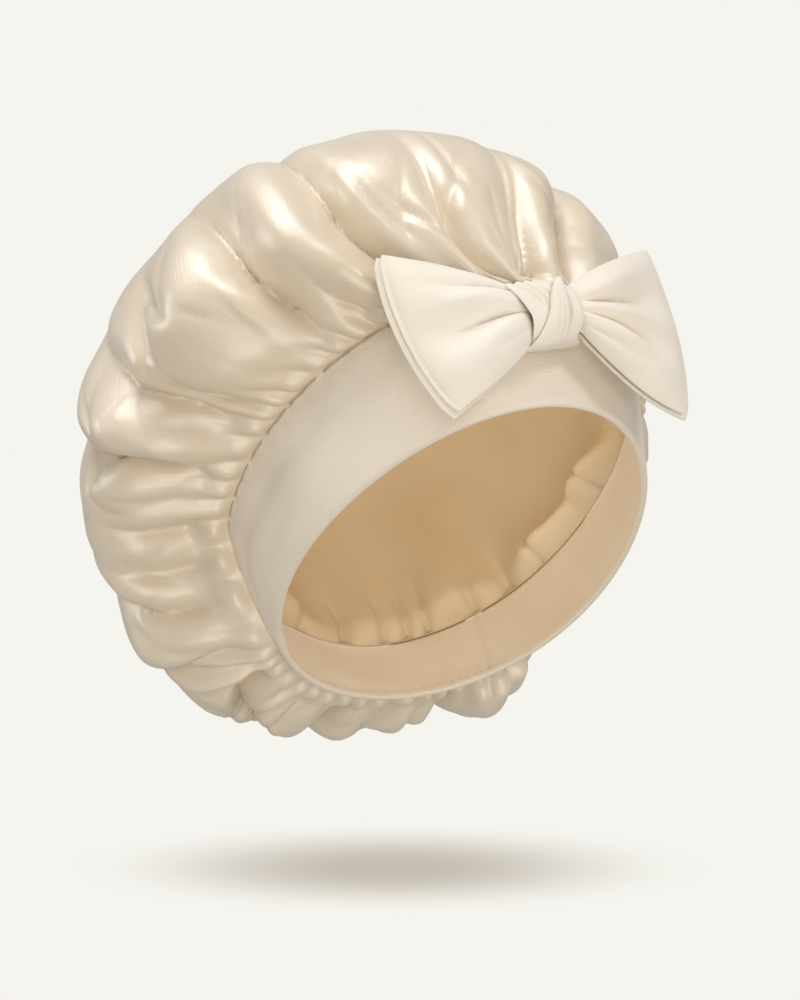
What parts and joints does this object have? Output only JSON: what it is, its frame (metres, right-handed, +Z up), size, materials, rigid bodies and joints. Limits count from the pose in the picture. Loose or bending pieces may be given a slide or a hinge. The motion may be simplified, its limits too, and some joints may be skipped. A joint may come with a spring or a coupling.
{
  "type": "sleep bonnet",
  "caption": "Satin sleep bonnet: a full gathered crown on a wide folded band round an oval head opening, with a flat two-winged bow and knot at the front.",
  "frame": {"origin": "middle of the oval head opening, level with the fold at the band's lower edge", "axes": "+Z up through the crown, -Y to the forehead and the bow, +X to the wearer's left"},
  "size_m": [0.2566, 0.2722, 0.2081],
  "materials": {
    "satin": "satin weave, champagne, glossy face out",
    "band_cloth": "matte crepe-backed satin, cream",
    "bow_cloth": "matte crepe-backed satin, cream"
  },
  "bodies": {
    "root": {"band": "band_cloth", "crown": "satin", "left_front_leaf": "bow_cloth", "left_back_leaf": "bow_cloth", "right_front_leaf": "bow_cloth", "right_back_leaf": "bow_cloth", "knot_wrap": "bow_cloth", "knot_strap": "bow_cloth"}
  },
  "joints": []
}
